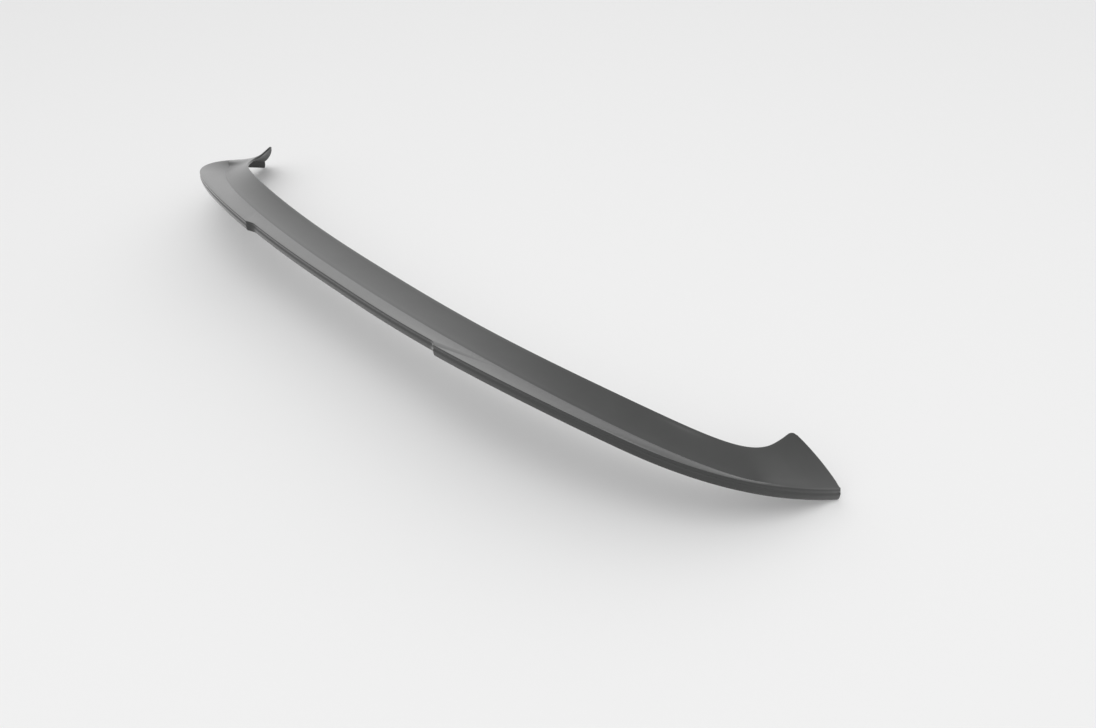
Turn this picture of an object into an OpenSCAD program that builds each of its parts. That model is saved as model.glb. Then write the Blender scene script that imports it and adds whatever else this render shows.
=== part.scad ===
// Rear spoiler: a one-piece moulded shell that caps the rear edge of a hatchback roof.
// Frame in mm: X to the right, Y forward along the roof, Z up off the roof.
// The origin is the underside of the front edge on the centre plane, where the shell is bonded.

/* [Overall] */
// Half of the overall width, centre plane to arm tip
half_width = 598; // [590:1:610]
// How far the arm tips reach in front of the front edge's middle
tip_reach = 137.5; // [126:0.5:150]
// Height of the upright face behind the lip
face_height = 15; // [13:0.5:22]

/* [Front edge] */
// Half of the width between the arms, at their inner apexes
front_half_width = 530.5; // [500:0.5:550]
// How far the arms' inner apexes reach in front of the edge's middle
front_reach = 123; // [110:0.5:140]
// How square the front edge turns into the arms, 2 is an ellipse
front_squareness = 2.49; // [2.1:0.01:3]
// Drop of the front edge at the arms, added by its crown
front_drop = 54.5; // [40:0.5:70]
// How late the front edge starts to drop, 2 is an even crown
front_crown_power = 5.8; // [3:0.1:7]
// Rise of the front edge for each mm it runs forward
front_climb = 0.184; // [0:0.001:0.3]
// Thickness of the front edge
edge_thickness = 4; // [3.5:0.5:6]

/* [Crease between band and lip] */
// Half of the width of the crease at the arm tips
crease_half_width = 589.5; // [580:0.5:596]
// Distance of the crease behind the front edge on the centre plane
crease_set_back = 53; // [40:0.5:60]
// How square the crease turns into the arms
crease_squareness = 2.34; // [2.1:0.01:3]
// Turn of the crease in plan from the centre to the arm tip, in degrees
crease_turn = 87.8; // [80:0.1:89]
// Height of the crease over the bonded face on the centre plane
crease_height = 15.25; // [12:0.25:20]
// Drop of the crease at the arm tips, added by its crown
crease_drop = 81.5; // [70:0.5:95]
// How late the crease starts to drop
crease_crown_power = 3.2; // [2:0.1:5]
// Rise of the crease for each mm it runs forward
crease_climb = 0.148; // [0:0.001:0.3]
// Extra fall of the crease over the arm
crease_arm_fall = 19.5; // [10:0.5:28]
// Hollow of the wide band between front edge and crease
band_sag = 1.5; // [0:0.1:3]

/* [Lip] */
// Distance of the wings' trailing edge behind the front edge
lip_set_back = 88.5; // [74:0.5:96]
// How square the trailing edge turns into the arms
lip_squareness = 3.3; // [3:0.05:4.5]
// Turn of the trailing edge in plan from the centre to the arm tip, in degrees
lip_turn = 75; // [68:0.1:82]
// Height of the trailing edge's top on the centre plane
lip_height = 34; // [26:0.5:38]
// Hollow of the trailing edge's crown in the middle of the car
lip_dip = 45; // [30:0.5:60]
// Half of the width over which the hollow runs
lip_dip_half_width = 444; // [420:1:480]
// Drop of the trailing edge at the arm tips, added by its crown
lip_drop = 96; // [85:0.5:110]
// Fall of the trailing edge for each mm it runs forward
lip_fall = 0.069; // [0:0.001:0.15]
// How late the trailing edge starts to drop, 2 is an even crown
lip_crown_power = 1.86; // [1.7:0.01:2.1]
// Extra fall of the trailing edge over the arm
lip_arm_fall = 41; // [30:0.5:50]

/* [Recess in the trailing edge] */
// Distance of the recess's corners from the centre plane
recess_half_width = 208; // [150:0.5:260]
// Depth of the recess, measured forward
recess_depth = 5; // [0:0.1:9]
// Length over which the edge returns into the recess beside each corner
recess_return = 29; // [12:1:40]

/* [Skin and roundings] */
// Thickness of the moulded skin
skin = 3; // [2.5:0.1:4]
// Rounding of the crease
crease_rounding = 3; // [2:0.5:8]
// Rounding of the trailing edge's top
lip_rounding = 2.5; // [1:0.25:5]
// Rounding of the face's foot
foot_rounding = 1.2; // [0.5:0.1:1.3]
// Rounding along the top of the front edge
edge_rounding = 1.4; // [0.4:0.1:1.6]
// Step of the shoulder that runs along the face
shoulder_step = 0.9; // [0:0.1:1.5]
// Rounding of the arm's inner apex in plan
apex_rounding = 12; // [4:1:16]
// Rounding of the arm's outer tip in plan
tip_rounding = 6; // [2:0.5:8]
// Forward bulge of the arm's end edge
end_bulge = 7; // [0:0.5:10]

/* [Colour] */
// Dark grey of the moulded plastic
plastic_grey = 0.22; // [0:0.01:1]

/* [Hidden] */
// How much less far forward than the trailing edge the crease ends
crease_short = 2;
// Share of the arm's end bulge that reaches the crease
crease_bulge = 0.45;
// The trailing edge's stations start later than the others, so that sections stay square to it
lip_ease = 1.58;
// Half step in the station parameter for the plan normal
normal_step = 0.004;
// Share of a side that a rounding may take
rounding_share = 0.45;
// Where the shoulder lies on the face, from the top, and its height, as shares
shoulder_at = 0.38;
shoulder_share = 0.12;
// Station parameter at which the arm's end part starts
end_start = 0.88;
centre_steps = 7;
return_steps = 8;
wing_steps = 22;
end_steps = 12;
end_ease = 1.6;
// How late the arm's end bulge sets in, and its share on the band beside the crease's own
bulge_power = 14;
band_bulge = 0.78;

function mix_point(a, b, t) = a + (b - a) * t;
function unit(v) = v / norm(v);
function flat(v) = [v[0], v[1], 0];
function down(d) = [0, 0, -d];

// A guide curve in plan: a superellipse arc, run through as s goes from 0 to 1
function plan_x(s, half, turn, square, ease) =
    half * pow(sin(turn * pow(s, ease)) / sin(turn), 2 / square);
function plan_share(s, turn, square, ease) =
    (1 - pow(cos(turn * pow(s, ease)), 2 / square)) / (1 - pow(cos(turn), 2 / square));

function front_point(s) =
    let (x = plan_x(s, front_half_width, 90, front_squareness, 1))
    let (y = front_reach * plan_share(s, 90, front_squareness, 1))
    let (drop = front_drop * pow(x / front_half_width, front_crown_power))
    [x, y, edge_thickness - drop + front_climb * y];

function crease_point(s) =
    let (x = plan_x(s, crease_half_width, crease_turn, crease_squareness, 1))
    let (share = plan_share(s, crease_turn, crease_squareness, 1))
    let (run = (tip_reach - crease_short + crease_set_back) * share)
    let (drop = crease_drop * pow(x / crease_half_width, crease_crown_power))
    let (fall = crease_arm_fall * share * share)
    [x, run - crease_set_back, crease_height - drop + crease_climb * run - fall];

// The trailing edge before the recess is taken out of it
function wing_point(s) =
    let (x = plan_x(s, half_width, lip_turn, lip_squareness, lip_ease))
    let (share = plan_share(s, lip_turn, lip_squareness, lip_ease))
    let (run = (tip_reach + lip_set_back) * share)
    let (hollow = pow(max(0, 1 - pow(x / lip_dip_half_width, 2)), 2))
    let (drop = lip_drop * pow(x / half_width, lip_crown_power))
    let (fall = lip_fall * run + lip_arm_fall * share * share)
    [x, run - lip_set_back, lip_height + lip_dip * (1 - hollow) - drop - fall];

// Share of the recess's depth at a distance x from the centre plane
function recess_share(x) =
    let (t = min(1, max(0, (recess_half_width - x) / recess_return)))
    1 - pow(1 - t, 2);
function lip_point(s) =
    let (p = wing_point(s))
    p + [0, recess_depth * recess_share(p[0]), 0];

// Plan normal of the trailing edge, pointing into the shell
function inward(s) =
    let (t = unit(flat(wing_point(min(1, s + normal_step)) - wing_point(max(0, s - normal_step)))))
    [-t[1], t[0], 0];

// How far a corner of the arm's end is drawn back at a distance d from it
function corner_trim(d, r) =
    d < r ? r - sqrt(max(0, r * r - (r - d) * (r - d))) : 0;

function corner(p, before, after, r, n) =
    let (a = p + unit(before - p) * min(r, rounding_share * norm(before - p)))
    let (c = p + unit(after - p) * min(r, rounding_share * norm(after - p)))
    [for (i = [0 : n])
        let (t = i / n)
        a * (1 - t) * (1 - t) + p * 2 * t * (1 - t) + c * t * t];

// Points on the band between two ends, hollowed across and bulged forward at the arm's end
function band_points(a, b, sag, bulge, n) =
    [for (i = [1 : n])
        let (t = i / (n + 1))
        mix_point(a, b, t) + 4 * t * (1 - t) * [0, bulge * band_bulge, -sag]];

// One side of the skin at a station, from the front edge over crease and lip to the face's foot
function skin_path(f, r, t, b, f_side, b_side, rounds, step, bulge) =
    let (out = step)
    concat(
        corner(f, f_side, r, rounds[0], 2),
        band_points(f, r, band_sag, bulge, 5),
        corner(r, f, t, rounds[1], 4),
        corner(t, r, b, rounds[2], 4),
        [mix_point(t, b, shoulder_at)],
        [mix_point(t, b, shoulder_at + shoulder_share) + out],
        [mix_point(t, b, 0.8) + out],
        corner(b + out, t + out, b_side, rounds[3], 2)
    );

function station(s) =
    let (f0 = front_point(s))
    let (r0 = crease_point(s))
    let (t0 = lip_point(s))
    let (n = inward(s))
    let (f_trim = corner_trim(norm(front_point(1) - f0), apex_rounding))
    let (t_trim = corner_trim(norm(wing_point(1) - wing_point(s)), tip_rounding))
    let (f = f0 + unit(r0 - f0) * f_trim)
    let (back = unit(f0 - t0) * t_trim)
    let (bulge = end_bulge * pow(s, bulge_power))
    let (r = r0 + back + [0, bulge * crease_bulge, 0])
    let (t = t0 + back)
    let (b = t + down(face_height))
    let (lip_run = norm(flat(r - t)))
    let (f_in = f + down(edge_thickness))
    let (r_in = r + down(skin))
    let (t_in = mix_point(t, r, min(0.8, skin / lip_run)) + down(skin))
    let (b_in = [t_in[0], t_in[1], b[2]])
    let (step = n * -shoulder_step)
    let (outer = skin_path(f, r, t, b, f_in, b_in, [edge_rounding, crease_rounding, lip_rounding,
        foot_rounding], step, bulge))
    let (inner = skin_path(f_in, r_in, t_in, b_in, f, b, [1, crease_rounding, 1, foot_rounding],
        [0, 0, 0], bulge))
    [outer, inner];

// Station parameter at which the trailing edge reaches a distance x from the centre plane
function lip_station(x) =
    pow(asin(sin(lip_turn) * pow(x / half_width, lip_squareness / 2)) / lip_turn, 1 / lip_ease);

recess_end = lip_station(recess_half_width);
recess_start = lip_station(recess_half_width - recess_return);
right_stations = concat(
    [for (i = [1 : centre_steps]) recess_start * i / centre_steps],
    [for (i = [1 : return_steps]) recess_start + (recess_end - recess_start) * i / return_steps],
    [for (i = [1 : wing_steps]) recess_end + (end_start - recess_end) * i / wing_steps],
    [for (i = [1 : end_steps]) end_start + (1 - end_start) * (1 - pow(1 - i / end_steps, end_ease))]
);
right_count = len(right_stations);

function reversed(list) = [for (i = [len(list) - 1 : -1 : 0]) list[i]];
function mirrored(points) = [for (p = points) [-p[0], p[1], p[2]]];
function ring(pair) = concat(pair[0], reversed(pair[1]));

module spoiler_shell() {
    right = [for (s = right_stations) ring(station(s))];
    middle = ring(station(0));
    rings = concat([for (r = reversed(right)) mirrored(r)], [middle], right);
    m = len(middle);
    half = m / 2;
    last = (len(rings) - 1) * m;
    points = [for (r = rings) each r];
    sides = [for (j = [0 : len(rings) - 2], i = [0 : m - 1], k = [0, 1])
        let (a = j * m + i)
        let (b = j * m + (i + 1) % m)
        k == 0 ? [a, b, b + m] : [a, b + m, a + m]];
    left_cap = [for (i = [0 : half - 2], k = [0, 1])
        let (o = m - 1 - i)
        k == 0 ? [i, o, o - 1] : [i, o - 1, i + 1]];
    right_cap = [for (f = left_cap) [last + f[0], last + f[2], last + f[1]]];
    color([plastic_grey, plastic_grey, plastic_grey])
        polyhedron(points = points, faces = concat(sides, left_cap, right_cap), convexity = 10);
}

spoiler_shell();
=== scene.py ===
"""Looks of a one-piece moulded rear spoiler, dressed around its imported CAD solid."""

import logging
import math
from dataclasses import dataclass, field
from enum import Enum

import bmesh
import bpy
from mathutils import Matrix, Vector

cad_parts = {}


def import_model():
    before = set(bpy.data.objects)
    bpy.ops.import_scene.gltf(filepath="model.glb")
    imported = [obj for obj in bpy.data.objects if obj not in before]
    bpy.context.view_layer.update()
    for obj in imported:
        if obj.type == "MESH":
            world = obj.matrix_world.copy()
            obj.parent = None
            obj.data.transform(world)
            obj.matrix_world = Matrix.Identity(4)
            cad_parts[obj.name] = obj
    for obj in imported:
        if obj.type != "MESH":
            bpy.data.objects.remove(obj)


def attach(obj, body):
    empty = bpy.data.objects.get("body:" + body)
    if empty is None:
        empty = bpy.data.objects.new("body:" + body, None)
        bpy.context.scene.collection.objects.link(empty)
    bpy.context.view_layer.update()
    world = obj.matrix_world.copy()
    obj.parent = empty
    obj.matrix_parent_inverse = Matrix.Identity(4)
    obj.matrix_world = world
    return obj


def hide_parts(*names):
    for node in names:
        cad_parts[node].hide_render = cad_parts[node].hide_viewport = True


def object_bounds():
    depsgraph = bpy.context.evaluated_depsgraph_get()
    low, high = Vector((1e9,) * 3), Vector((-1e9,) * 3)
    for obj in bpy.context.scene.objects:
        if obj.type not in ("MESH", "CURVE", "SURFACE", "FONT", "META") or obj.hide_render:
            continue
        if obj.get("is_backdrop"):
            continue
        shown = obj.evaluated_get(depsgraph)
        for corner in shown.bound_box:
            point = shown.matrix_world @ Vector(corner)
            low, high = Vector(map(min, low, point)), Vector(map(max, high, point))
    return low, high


log = logging.getLogger("rear_spoiler")

IMAGE_WIDTH_PX = 1096
SENSOR_MM = 36.0
MM = 0.001

Point = tuple[float, float, float]
Colour = tuple[float, float, float]
Sides = tuple[list[Vector], list[Vector]]

WHITE: Colour = (1.0, 1.0, 1.0)


class SeeingRay(Enum):
    """The rays that see the pale surround itself, where all others only carry its light."""

    CAMERA = "Is Camera Ray"
    GLOSSY = "Is Glossy Ray"
    TRANSMISSION = "Is Transmission Ray"


def opaque(colour: Colour, share: float = 1.0) -> tuple[float, float, float, float]:
    """Turn a colour into a socket's value.

    Args:
        colour: The colour.
        share: What its three channels are multiplied by.

    Returns:
        The channels and full opacity.
    """
    red, green, blue = colour
    return red * share, green * share, blue * share, 1.0


def deselect_all() -> None:
    """Leave object mode with nothing selected."""
    if bpy.context.object is not None and bpy.context.object.mode != "OBJECT":
        bpy.ops.object.mode_set(mode="OBJECT")
    bpy.ops.object.select_all(action="DESELECT")


def activate(obj: bpy.types.Object) -> None:
    """Make one object the only selected and the active one.

    Args:
        obj: The object that the next operators act on.
    """
    deselect_all()
    obj.select_set(True)
    bpy.context.view_layer.objects.active = obj


@dataclass(frozen=True)
class ViewPoint:
    """The place from which the part is seen, behind it, to its right and above it."""

    place: Point = (0.9188, -0.5419, 0.6409)
    heading_deg: float = 48.78
    tilt_deg: float = 37.42
    roll_deg: float = -3.45
    focal_px: float = 941.5
    nearest: float = 0.01
    farthest: float = 100.0

    def axes(self) -> tuple[Vector, Vector, Vector]:
        """Work out the camera's right, up and view directions.

        Returns:
            The right, up and view directions, each of length 1.
        """
        heading = math.radians(self.heading_deg)
        tilt = math.radians(self.tilt_deg)
        roll = math.radians(self.roll_deg)
        view = Vector((
            -math.sin(heading) * math.cos(tilt),
            math.cos(heading) * math.cos(tilt),
            -math.sin(tilt),
        ))
        level = Vector((math.cos(heading), math.sin(heading), 0.0))
        rise = level.cross(view)
        right = math.cos(roll) * level + math.sin(roll) * rise
        up = -math.sin(roll) * level + math.cos(roll) * rise
        return right, up, view

    def build(self) -> bpy.types.Object:
        """Make the camera and set it as the scene's own.

        Returns:
            The camera object.
        """
        right, up, view = self.axes()
        turn = Matrix((right, up, -view)).transposed().to_4x4()
        deselect_all()
        bpy.ops.object.camera_add(location=self.place)
        camera = bpy.context.object
        camera.name = "view_camera"
        camera.matrix_world = Matrix.Translation(self.place) @ turn
        camera.data.sensor_width = SENSOR_MM
        camera.data.sensor_fit = "HORIZONTAL"
        camera.data.lens = self.focal_px / IMAGE_WIDTH_PX * SENSOR_MM
        camera.data.clip_start = self.nearest
        camera.data.clip_end = self.farthest
        bpy.context.scene.camera = camera
        bpy.context.scene.view_settings.view_transform = "Standard"
        return camera


@dataclass(frozen=True)
class SatinPlastic:
    """Dark grey moulded plastic with a satin top and a coarser, duller underside."""

    name: str = "satin_dark_plastic"
    colour: Colour = (0.038, 0.039, 0.038)
    ior: float = 1.5
    sheen: float = 0.52
    sheen_roughness: float = 0.32
    mottle_per_m: float = 22.0
    mottle_detail: float = 3.0
    mottle_range: tuple[float, float] = (0.3, 0.7)
    mottle_spread: float = 0.08
    roughness: float = 0.22
    under_roughness: float = 0.62
    under_range: tuple[float, float] = (-0.2, -0.6)
    grain_per_m: float = 2600.0
    grain_detail: float = 2.0
    grain_height: float = 0.00003
    grain_strength: float = 0.25

    def build(self) -> bpy.types.Material:
        """Build the plastic's node material.

        Returns:
            The finished material.
        """
        material = bpy.data.materials.new(self.name)
        material.use_nodes = True
        nodes, links = material.node_tree.nodes, material.node_tree.links
        shader = nodes["Principled BSDF"]
        shader.inputs["IOR"].default_value = self.ior
        shader.inputs["Sheen Weight"].default_value = self.sheen
        shader.inputs["Sheen Roughness"].default_value = self.sheen_roughness
        place = nodes.new("ShaderNodeTexCoord").outputs["Object"]
        links.new(self.mottle(nodes, links, place), shader.inputs["Base Color"])
        links.new(self.dulled(nodes, links), shader.inputs["Roughness"])
        links.new(self.grain(nodes, links, place), shader.inputs["Normal"])
        return material

    def mottle(
        self, nodes: bpy.types.Nodes, links: bpy.types.NodeLinks, place: bpy.types.NodeSocket
    ) -> bpy.types.NodeSocket:
        """Vary the tone in soft, wide patches.

        Args:
            nodes: The material's nodes.
            links: Their links.
            place: The place on the piece.

        Returns:
            The colour.
        """
        patches = nodes.new("ShaderNodeTexNoise")
        patches.inputs["Scale"].default_value = self.mottle_per_m
        patches.inputs["Detail"].default_value = self.mottle_detail
        links.new(place, patches.inputs["Vector"])
        tone = nodes.new("ShaderNodeValToRGB")
        spreads = (-self.mottle_spread, self.mottle_spread)
        for stop, position, spread in zip(tone.color_ramp.elements, self.mottle_range, spreads):
            stop.position = position
            stop.color = opaque(self.colour, 1.0 + spread)
        links.new(patches.outputs["Fac"], tone.inputs["Fac"])
        return tone.outputs["Color"]

    def dulled(
        self, nodes: bpy.types.Nodes, links: bpy.types.NodeLinks
    ) -> bpy.types.NodeSocket:
        """Make what faces down rougher than the rest.

        Args:
            nodes: The material's nodes.
            links: Their links.

        Returns:
            The roughness.
        """
        facing = nodes.new("ShaderNodeNewGeometry")
        split = nodes.new("ShaderNodeSeparateXYZ")
        links.new(facing.outputs["Normal"], split.inputs["Vector"])
        under = nodes.new("ShaderNodeMapRange")
        under.inputs["From Min"].default_value = self.under_range[0]
        under.inputs["From Max"].default_value = self.under_range[1]
        under.inputs["To Min"].default_value = self.roughness
        under.inputs["To Max"].default_value = self.under_roughness
        links.new(split.outputs["Z"], under.inputs["Value"])
        return under.outputs["Result"]

    def grain(
        self, nodes: bpy.types.Nodes, links: bpy.types.NodeLinks, place: bpy.types.NodeSocket
    ) -> bpy.types.NodeSocket:
        """Give the surface the fine grain of its mould.

        Args:
            nodes: The material's nodes.
            links: Their links.
            place: The place on the piece.

        Returns:
            The normal.
        """
        pits = nodes.new("ShaderNodeTexNoise")
        pits.inputs["Scale"].default_value = self.grain_per_m
        pits.inputs["Detail"].default_value = self.grain_detail
        links.new(place, pits.inputs["Vector"])
        bump = nodes.new("ShaderNodeBump")
        bump.inputs["Strength"].default_value = self.grain_strength
        bump.inputs["Distance"].default_value = self.grain_height
        links.new(pits.outputs["Fac"], bump.inputs["Height"])
        return bump.outputs["Normal"]


@dataclass(frozen=True)
class GuideArc:
    """A guide curve in plan: a superellipse arc, run through as a share goes from 0 to 1."""

    half_width: float
    turn_deg: float
    squareness: float
    ease: float = 1.0

    def angle(self, along: float) -> float:
        """Return the arc's angle in radians at a share of its run."""
        return math.radians(self.turn_deg) * along ** self.ease

    def across(self, along: float) -> float:
        """Work out the distance from the centre plane.

        Args:
            along: Share of the arc that has been run through.

        Returns:
            The distance in millimetres.
        """
        reached = math.sin(self.angle(along)) / math.sin(self.angle(1.0))
        return self.half_width * reached ** (2.0 / self.squareness)

    def forward_share(self, along: float) -> float:
        """Work out how much of its way forward the arc has gone.

        Args:
            along: Share of the arc that has been run through.

        Returns:
            The share, from 0 on the centre plane to 1 at the arm's tip.
        """
        power = 2.0 / self.squareness
        gone = 1.0 - abs(math.cos(self.angle(along))) ** power
        return gone / (1.0 - abs(math.cos(self.angle(1.0))) ** power)

    def share_at(self, across: float) -> float:
        """Find the share of the arc at a distance from the centre plane.

        Args:
            across: The distance in millimetres.

        Returns:
            The share of the arc.
        """
        sine = math.sin(self.angle(1.0)) * (across / self.half_width) ** (self.squareness / 2.0)
        return (math.asin(sine) / self.angle(1.0)) ** (1.0 / self.ease)


@dataclass(frozen=True)
class FrontEdge:
    """The thin front edge, which flares out into an apex at the end of each arm."""

    arc: GuideArc = GuideArc(530.5, 90.0, 2.49)
    reach: float = 121.5
    drop: float = 54.5
    crown_power: float = 5.8
    climb: float = 0.184
    thickness: float = 4.0
    flare: Point = (4.2, 6.6, 4.5)
    flare_start: float = 0.93
    flare_power: float = 1.5

    def point(self, along: float) -> Vector:
        """Return the top of the edge at a share of its run."""
        flared = max(0.0, (along - self.flare_start) / (1.0 - self.flare_start))
        return self.arc_point(along) + Vector(self.flare) * flared ** self.flare_power

    def arc_point(self, along: float) -> Vector:
        """Work out the top of the edge without the flare of its ends.

        Args:
            along: Share of the edge that has been run through.

        Returns:
            The place in millimetres.
        """
        across = self.arc.across(along)
        run = self.reach * self.arc.forward_share(along)
        drop = self.drop * (across / self.arc.half_width) ** self.crown_power
        return Vector((across, run, self.thickness - drop + self.climb * run))


@dataclass(frozen=True)
class Crease:
    """The crisp line between the wide band and the kicked-up lip."""

    arc: GuideArc = GuideArc(589.0, 87.8, 2.34)
    reach: float = 134.0
    set_back: float = 53.0
    height: float = 15.25
    drop: float = 81.5
    crown_power: float = 3.2
    climb: float = 0.148
    arm_fall: float = 19.5

    def point(self, along: float) -> Vector:
        """Work out the crease's place.

        Args:
            along: Share of the crease that has been run through.

        Returns:
            The place in millimetres.
        """
        across = self.arc.across(along)
        share = self.arc.forward_share(along)
        run = (self.reach + self.set_back) * share
        drop = self.drop * (across / self.arc.half_width) ** self.crown_power
        fall = self.arm_fall * share ** 2
        return Vector((across, run - self.set_back, self.height - drop + self.climb * run - fall))


@dataclass(frozen=True)
class TrailingEdge:
    """The top of the upright face, with the shallow recess in its middle."""

    arc: GuideArc = GuideArc(596.8, 75.0, 3.3, 1.58)
    reach: float = 135.4
    set_back: float = 88.5
    height: float = 33.9
    dip: float = 45.0
    dip_half_width: float = 444.0
    drop: float = 96.0
    crown_power: float = 1.86
    fall: float = 0.069
    arm_fall: float = 41.0
    recess_half_width: float = 208.0
    recess_depth: float = 6.5
    recess_sink: float = 2.2
    recess_return: float = 14.0
    normal_step: float = 0.004

    def wing_point(self, along: float) -> Vector:
        """Work out the edge's place as if it had no recess.

        Args:
            along: Share of the edge that has been run through.

        Returns:
            The place in millimetres.
        """
        across = self.arc.across(along)
        share = self.arc.forward_share(along)
        run = (self.reach + self.set_back) * share
        hollow = max(0.0, 1.0 - (across / self.dip_half_width) ** 2) ** 2
        rise = self.dip * (1.0 - hollow)
        drop = self.drop * (across / self.arc.half_width) ** self.crown_power
        fall = self.fall * run + self.arm_fall * share ** 2
        return Vector((across, run - self.set_back, self.height + rise - drop - fall))

    def point(self, along: float) -> Vector:
        """Work out the edge's place, with the recess.

        Args:
            along: Share of the edge that has been run through.

        Returns:
            The place in millimetres.
        """
        place = self.wing_point(along)
        inside = (self.recess_half_width - place.x) / self.recess_return
        share = 1.0 - (1.0 - min(1.0, max(0.0, inside))) ** 2
        return place + Vector((0.0, self.recess_depth, -self.recess_sink)) * share

    def outward(self, along: float) -> Vector:
        """Work out the level direction that points out of the shell, square to the edge.

        Args:
            along: Share of the edge that has been run through.

        Returns:
            The direction, of length 1.
        """
        after = self.wing_point(min(1.0, along + self.normal_step))
        before = self.wing_point(max(0.0, along - self.normal_step))
        run = (after - before).to_2d().normalized()
        return Vector((run.y, -run.x, 0.0))


@dataclass(frozen=True)
class FaceShoulder:
    """The soft step along the upright face, placed by shares of the face's height."""

    start: float = 0.36
    run: float = 0.12
    step: float = 0.9
    hollow: float = 0.4
    falls_back: float = 0.8

    def offset(self, share: float) -> float:
        """Work out how far the face stands out under its top.

        Args:
            share: Share of the face's height, from its top.

        Returns:
            The distance outwards in millimetres.
        """
        if share < self.start:
            return -self.hollow * (share / self.start) ** 2
        turn = min(1.0, (share - self.start) / self.run)
        ease = turn * turn * (3.0 - 2.0 * turn)
        under = max(0.0, (share - self.start - self.run) / (1.0 - self.start))
        return (self.step + self.hollow) * ease - self.hollow - self.falls_back * under ** 2


@dataclass(frozen=True)
class ArmEnd:
    """How an arm ends: its rounded corners, its bowed edge and the crease's way out."""

    apex_rounding: float = 6.5
    tip_rounding: float = 1.6
    foot_corner: float = 5.0
    bow: float = 3.8
    bow_power: float = 14.0
    merge_start: float = 0.68
    merge_end: float = 0.99
    merged_inset: float = 2.2
    merged_rise: float = 0.3

    def bow_at(self, along: float) -> float:
        """Return how far forward the band bows at a share of the guide curves."""
        return self.bow * along ** self.bow_power

    def merged(self, along: float) -> float:
        """Work out how far the crease has moved over to the trailing edge.

        Args:
            along: Share of the guide curves.

        Returns:
            The share, from 0 on its own curve to 1 beside the trailing edge.
        """
        turn = (along - self.merge_start) / (self.merge_end - self.merge_start)
        turn = min(1.0, max(0.0, turn))
        return turn ** 3 * (turn * (6.0 * turn - 15.0) + 10.0)

    @staticmethod
    def corner_trim(distance: float, radius: float) -> float:
        """Work out how far a corner of the arm's end is drawn back beside it.

        Args:
            distance: Distance from the corner.
            radius: Radius of its rounding in plan.

        Returns:
            The distance by which the outline is drawn back.
        """
        left = max(0.0, radius - distance)
        return radius - math.sqrt(max(0.0, radius ** 2 - left ** 2))


@dataclass(frozen=True)
class LoftSteps:
    """How finely the shell is lofted, along it and around its section."""

    recess: int = 30
    recess_return: int = 12
    wing: int = 70
    arm: int = 36
    arm_start: float = 0.88
    arm_crowding: float = 1.8
    band: int = 11
    bend: int = 8
    rim: int = 5
    lip: int = 5
    face: int = 13
    end: int = 6


@dataclass(frozen=True)
class Roundings:
    """How far the roundings of one side's corners reach, in millimetres."""

    edge: float
    crease: float
    lip: float
    foot: float


@dataclass(frozen=True)
class SkinSide:
    """One side of the skin at a station: its four corners and their roundings."""

    edge: Vector
    crease: Vector
    lip: Vector
    foot: Vector
    roundings: Roundings


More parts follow.
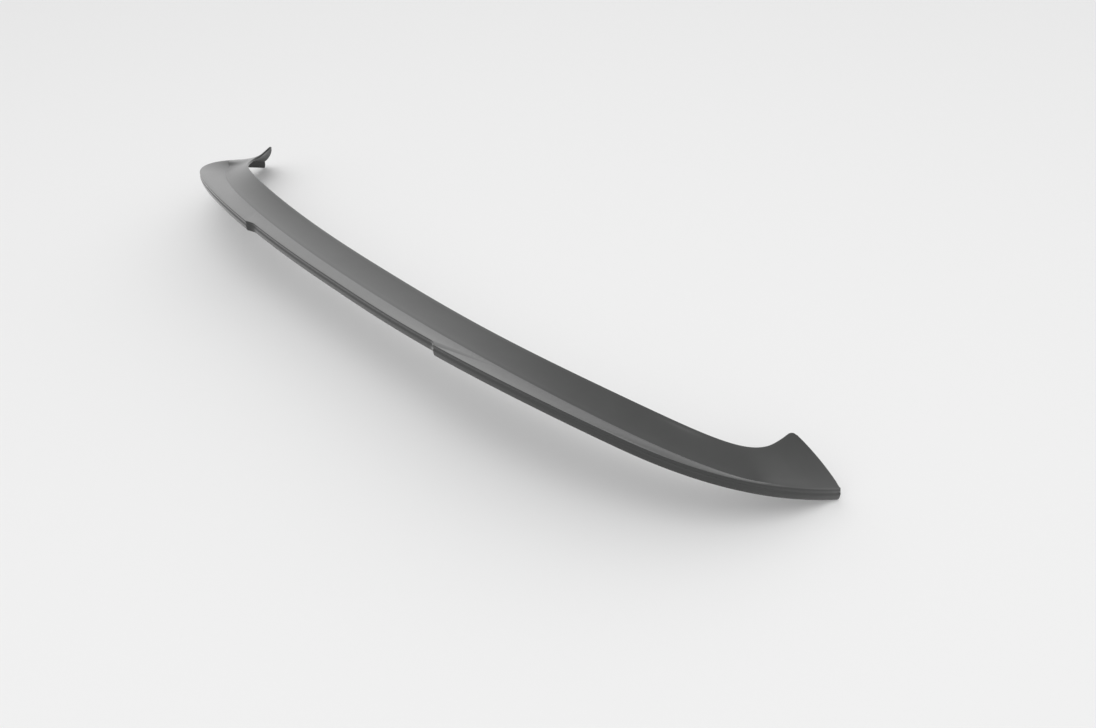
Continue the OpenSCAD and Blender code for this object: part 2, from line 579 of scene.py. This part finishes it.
@dataclass
class SpoilerShell:
    """The moulded shell, lofted in fine steps along the same lines as the solid it shows."""

    node: str = "spoiler_shell"
    slot: str = "shell_plastic"
    piece_name: str = "moulded_shell"
    front: FrontEdge = FrontEdge()
    crease: Crease = Crease()
    trailing: TrailingEdge = TrailingEdge()
    shoulder: FaceShoulder = FaceShoulder()
    arm_end: ArmEnd = ArmEnd()
    steps: LoftSteps = LoftSteps()
    outer_roundings: Roundings = Roundings(1.4, 2.2, 2.2, 1.2)
    inner_roundings: Roundings = Roundings(1.0, 3.0, 1.0, 0.8)
    skin: float = 3.0
    face_height: float = 15.0
    face_start: float = 0.2
    face_run: float = 0.68
    band_start: float = 0.04
    band_sag: float = 1.5
    largest_rounding_share: float = 0.45
    widest_skin_share: float = 0.8
    merge_distance: float = 0.00001
    smooth_angle_deg: float = 40.0
    finish: SatinPlastic = field(default_factory=SatinPlastic)

    def build(self) -> bpy.types.Object:
        """Model the shell and dress it.

        Returns:
            The finished shell.
        """
        shell = self.loft(self.rings())
        self.close_surface(shell)
        shell.data.materials.append(self.finish.build())
        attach(shell, "root")
        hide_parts(self.node)
        return shell

    def stations(self) -> list[float]:
        """Space the stations from the centre plane to the arm's tip.

        Returns:
            Shares of the guide curves, the first on the centre plane.
        """
        steps, trailing = self.steps, self.trailing
        corner = trailing.arc.share_at(trailing.recess_half_width)
        inside = trailing.arc.share_at(trailing.recess_half_width - trailing.recess_return)
        stretches = (
            (0.0, inside, steps.recess),
            (inside, corner, steps.recess_return),
            (corner, steps.arm_start, steps.wing),
        )
        shares = [0.0]
        for start, end, count in stretches:
            shares += [start + (end - start) * i / count for i in range(1, count + 1)]
        for i in range(1, steps.arm + 1):
            left = (1.0 - i / steps.arm) ** steps.arm_crowding
            shares.append(1.0 - (1.0 - steps.arm_start) * left)
        return shares

    def rings(self) -> list[list[Vector]]:
        """Work out the closed sections of the skin from the left arm to the right one.

        Returns:
            The sections, all with the same number of points.
        """
        pairs = [self.section(along) for along in self.stations()]
        pairs += self.end_rounding(pairs[-1])
        right = [outer + inner[::-1] for outer, inner in pairs]
        left = [[Vector((-p.x, p.y, p.z)) for p in ring] for ring in right[:0:-1]]
        return left + right

    def end_rounding(self, last: Sides) -> list[Sides]:
        """Round the arm's end over the thickness of the skin.

        Args:
            last: The outer and the inner side at the arm's end.

        Returns:
            The outer and inner sides past the end.
        """
        outer, inner = last
        run = (outer[-1] - outer[0]).to_2d().normalized()
        ahead = Vector((-run.y, run.x, 0.0))
        pairs = []
        for i in range(1, self.steps.end + 1):
            turn = math.pi / 2.0 * i / self.steps.end
            sides = ([], [])
            for top, under in zip(outer, inner):
                middle, half = (top + under) / 2.0, (top - under) / 2.0
                reach = ahead * min(half.length, self.skin / 2.0) * math.sin(turn)
                sides[0].append(middle + reach + half * math.cos(turn))
                sides[1].append(middle + reach - half * math.cos(turn))
            pairs.append(sides)
        return pairs

    def section(self, along: float) -> Sides:
        """Work out the skin's section at one station.

        Args:
            along: Share of the guide curves at the station.

        Returns:
            The points of the outer and of the inner side, front edge first.
        """
        outer = self.outer_side(along)
        inner = self.inner_side(outer)
        bow = self.arm_end.bow_at(along)
        out = self.trailing.outward(along)
        return self.side_points(outer, inner, out, bow), self.side_points(inner, outer, Vector(), bow)

    def outer_side(self, along: float) -> SkinSide:
        """Place the outer side's corners at one station.

        Args:
            along: Share of the guide curves at the station.

        Returns:
            The outer side.
        """
        end = self.arm_end
        edge = self.front.point(along)
        top = self.trailing.point(along)
        fold = self.fold_point(along, top)
        edge_gap = (self.front.point(1.0) - edge).length
        tip_gap = (self.trailing.wing_point(1.0) - self.trailing.wing_point(along)).length
        top_shift = (edge - top).normalized() * end.corner_trim(tip_gap, end.tip_rounding)
        edge_shift = (fold - edge).normalized() * end.corner_trim(edge_gap, end.apex_rounding)
        height = self.face_height - end.corner_trim(tip_gap, end.foot_corner)
        top = top + top_shift
        foot = top - Vector((0.0, 0.0, height))
        return SkinSide(edge + edge_shift, fold, top, foot, self.outer_roundings)

    def inner_side(self, outer: SkinSide) -> SkinSide:
        """Place the inner side's corners under the outer ones.

        Args:
            outer: The outer side at the same station.

        Returns:
            The inner side.
        """
        skin_down = Vector((0.0, 0.0, -self.skin))
        lip_run = (outer.crease - outer.lip).to_2d().length
        inset = min(self.widest_skin_share, self.skin / lip_run)
        lip = outer.lip.lerp(outer.crease, inset) + skin_down
        foot = Vector((lip.x, lip.y, outer.foot.z))
        edge = outer.edge - Vector((0.0, 0.0, self.front.thickness))
        return SkinSide(edge, outer.crease + skin_down, lip, foot, self.inner_roundings)

    def fold_point(self, along: float, top: Vector) -> Vector:
        """Work out the crease's place, which runs into the trailing edge over the arm.

        Args:
            along: Share of the guide curves at the station.
            top: The trailing edge's place there.

        Returns:
            The crease's place.
        """
        rise = Vector((0.0, 0.0, self.arm_end.merged_rise))
        beside = top - self.trailing.outward(along) * self.arm_end.merged_inset + rise
        return self.crease.point(along).lerp(beside, self.arm_end.merged(along))

    def side_points(self, side: SkinSide, other: SkinSide, out: Vector, bow: float) -> list[Vector]:
        """Run along one side of the skin, from the front edge to the face's foot.

        Args:
            side: The side that is run along.
            other: The skin's other side.
            out: Direction of the face's shoulder, of length 0 where it has none.
            bow: How far forward the band bows at this station.

        Returns:
            The points along the side.
        """
        steps, reach = self.steps, side.roundings
        fold = self.rounded(side.crease, side.edge, side.lip, reach.crease, steps.bend)
        top = self.rounded(side.lip, side.crease, side.foot, reach.lip, steps.bend)
        points = self.rounded(side.edge, other.edge, side.crease, reach.edge, steps.rim)
        points += self.band(side.edge, side.crease, bow)
        points += fold
        points += [fold[-1].lerp(top[0], i / steps.lip) for i in range(1, steps.lip)]
        points += top
        points += self.face(side, out)
        shift = out * self.shoulder.offset(1.0)
        foot, above = side.foot + shift, side.lip + shift
        points += self.rounded(foot, above, other.foot, reach.foot, steps.rim)
        return points

    def band(self, start: Vector, end: Vector, bow: float) -> list[Vector]:
        """Run over the hollow band between the front edge and the crease.

        Args:
            start: The front edge.
            end: The crease.
            bow: How far forward the band bows at this station.

        Returns:
            The points between the two, without its ends.
        """
        hollow = Vector((0.0, bow, -self.band_sag))
        run = 1.0 - 2.0 * self.band_start
        shares = [self.band_start + run * i / self.steps.band for i in range(1, self.steps.band)]
        return [start.lerp(end, t) + hollow * 4.0 * t * (1.0 - t) for t in shares]

    def face(self, side: SkinSide, out: Vector) -> list[Vector]:
        """Run down the upright face between its roundings.

        Args:
            side: The side that is run along.
            out: Direction of the face's shoulder, of length 0 where it has none.

        Returns:
            The points from the top down.
        """
        points = []
        for i in range(1, self.steps.face):
            share = self.face_start + self.face_run * i / self.steps.face
            points.append(side.lip.lerp(side.foot, share) + out * self.shoulder.offset(share))
        return points

    def rounded(
        self, corner: Vector, before: Vector, after: Vector, radius: float, steps: int
    ) -> list[Vector]:
        """Round a corner of the section with a parabola.

        Args:
            corner: The sharp corner.
            before: The corner before it.
            after: The corner after it.
            radius: How far the rounding reaches along both sides.
            steps: Number of steps.

        Returns:
            The points of the rounding.
        """
        back, ahead = before - corner, after - corner
        share = self.largest_rounding_share
        start = corner + back.normalized() * min(radius, share * back.length)
        end = corner + ahead.normalized() * min(radius, share * ahead.length)
        turns = [i / steps for i in range(steps + 1)]
        return [start.lerp(corner, t).lerp(corner.lerp(end, t), t) for t in turns]

    def loft(self, rings: list[list[Vector]]) -> bpy.types.Object:
        """Skin the sections with quads.

        Args:
            rings: The closed sections in order.

        Returns:
            The new object, at the origin.
        """
        count = len(rings[0])
        surface = bmesh.new()
        rows = [[surface.verts.new(point * MM) for point in ring] for ring in rings]
        for near, far in zip(rows, rows[1:]):
            for i in range(count):
                j = (i + 1) % count
                surface.faces.new((near[i], near[j], far[j], far[i]))
        mesh = bpy.data.meshes.new(self.piece_name)
        surface.to_mesh(mesh)
        surface.free()
        shell = bpy.data.objects.new(self.piece_name, mesh)
        bpy.context.scene.collection.objects.link(shell)
        return shell

    def close_surface(self, shell: bpy.types.Object) -> None:
        """Merge what meets at the arms' ends, turn the faces outwards and shade them smooth.

        Args:
            shell: The shell's object.
        """
        activate(shell)
        bpy.ops.object.mode_set(mode="EDIT")
        bpy.ops.mesh.select_all(action="SELECT")
        bpy.ops.mesh.remove_doubles(threshold=self.merge_distance)
        bpy.ops.mesh.dissolve_degenerate(threshold=self.merge_distance)
        bpy.ops.mesh.normals_make_consistent(inside=False)
        bpy.ops.object.mode_set(mode="OBJECT")
        bpy.ops.object.shade_smooth_by_angle(angle=math.radians(self.smooth_angle_deg))


@dataclass(frozen=True)
class SoftPanel:
    """The studio's soft panel, above the part and towards the camera."""

    name: str = "sky_panel"
    place: Point = (0.9, -0.6, 3.2)
    size: float = 2.2
    power: float = 22.0

    def build(self) -> bpy.types.Object:
        """Hang the panel and turn it to the part.

        Returns:
            The lamp object.
        """
        deselect_all()
        bpy.ops.object.light_add(type="AREA", location=self.place)
        lamp = bpy.context.object
        lamp.name = self.name
        lamp.data.shape = "SQUARE"
        lamp.data.size = self.size
        lamp.data.energy = self.power
        facing = -Vector(self.place).normalized()
        lamp.rotation_euler = facing.to_track_quat("-Z", "Y").to_euler()
        return lamp


@dataclass(frozen=True)
class Studio:
    """A plain pale floor, an even white surround and one soft panel."""

    panel: SoftPanel = SoftPanel()
    floor_size: float = 60.0
    floor_gap_mm: float = 0.5
    floor_tone: float = 0.84
    floor_bounce: float = 0.16
    floor_roughness: float = 0.9
    floor_gloss: float = 0.1
    surround_light: float = 0.88
    surround_seen: float = 1.0

    def build(self, lowest: float) -> None:
        """Set up the floor, the surround and the panel.

        Args:
            lowest: Height of the part's lowest point.
        """
        self.build_floor(lowest - self.floor_gap_mm * MM)
        self.build_surround()
        self.panel.build()

    def build_floor(self, height: float) -> None:
        """Lay the pale floor under the part.

        Args:
            height: Height of its surface.
        """
        deselect_all()
        bpy.ops.mesh.primitive_plane_add(size=self.floor_size, location=(0.0, 0.0, height))
        floor = bpy.context.object
        floor.name = "studio_floor"
        material = bpy.data.materials.new("pale_floor")
        material.use_nodes = True
        nodes, links = material.node_tree.nodes, material.node_tree.links
        shader = nodes["Principled BSDF"]
        shader.inputs["Roughness"].default_value = self.floor_roughness
        shader.inputs["Specular IOR Level"].default_value = self.floor_gloss
        tone = nodes.new("ShaderNodeMix")
        tone.data_type = "RGBA"
        tone.inputs["A"].default_value = opaque(WHITE, self.floor_bounce)
        tone.inputs["B"].default_value = opaque(WHITE, self.floor_tone)
        links.new(self.seen_directly(nodes, links), tone.inputs["Factor"])
        links.new(tone.outputs["Result"], shader.inputs["Base Color"])
        floor.data.materials.append(material)
        floor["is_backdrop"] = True

    def build_surround(self) -> None:
        """Give the world an even light, and the white that camera and gloss see."""
        world = bpy.data.worlds.new("studio_world")
        bpy.context.scene.world = world
        world.use_nodes = True
        nodes, links = world.node_tree.nodes, world.node_tree.links
        nodes.clear()
        mix = nodes.new("ShaderNodeMixShader")
        links.new(self.seen_directly(nodes, links), mix.inputs["Fac"])
        for socket, strength in zip(mix.inputs[1:], (self.surround_light, self.surround_seen)):
            level = nodes.new("ShaderNodeBackground")
            level.inputs["Color"].default_value = opaque(WHITE)
            level.inputs["Strength"].default_value = strength
            links.new(level.outputs["Background"], socket)
        output = nodes.new("ShaderNodeOutputWorld")
        links.new(mix.outputs["Shader"], output.inputs["Surface"])

    @staticmethod
    def seen_directly(
        nodes: bpy.types.Nodes, links: bpy.types.NodeLinks
    ) -> bpy.types.NodeSocket:
        """Tell the rays that see a surface from those that only carry its light.

        Args:
            nodes: The nodes of the material or world.
            links: Their links.

        Returns:
            A socket that is 1 for the rays that see it.
        """
        path = nodes.new("ShaderNodeLightPath")
        seen = path.outputs[SeeingRay.CAMERA.value]
        for ray in (SeeingRay.GLOSSY, SeeingRay.TRANSMISSION):
            wider = nodes.new("ShaderNodeMath")
            wider.operation = "MAXIMUM"
            links.new(seen, wider.inputs[0])
            links.new(path.outputs[ray.value], wider.inputs[1])
            seen = wider.outputs["Value"]
        return seen


def plain_box(bounds: tuple) -> list[list[float]]:
    """Turn a pair of corners into plain lists of numbers.

    Args:
        bounds: The lowest and the highest corner.

    Returns:
        The two corners as lists.
    """
    return [[float(value) for value in corner] for corner in bounds]


def main() -> None:
    """Build the camera, the shell and the studio, with the floor set under the CAD model's lowest
    point.
    """
    logging.basicConfig(level=logging.INFO, format="%(name)s: %(message)s")
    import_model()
    cad_box = plain_box(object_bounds())
    camera = ViewPoint().build()
    log.info("set %s", camera.name)
    shell = SpoilerShell().build()
    log.info("built %s with %d faces", shell.name, len(shell.data.polygons))
    Studio().build(lowest=cad_box[0][2])


if __name__ == "__main__":
    main()
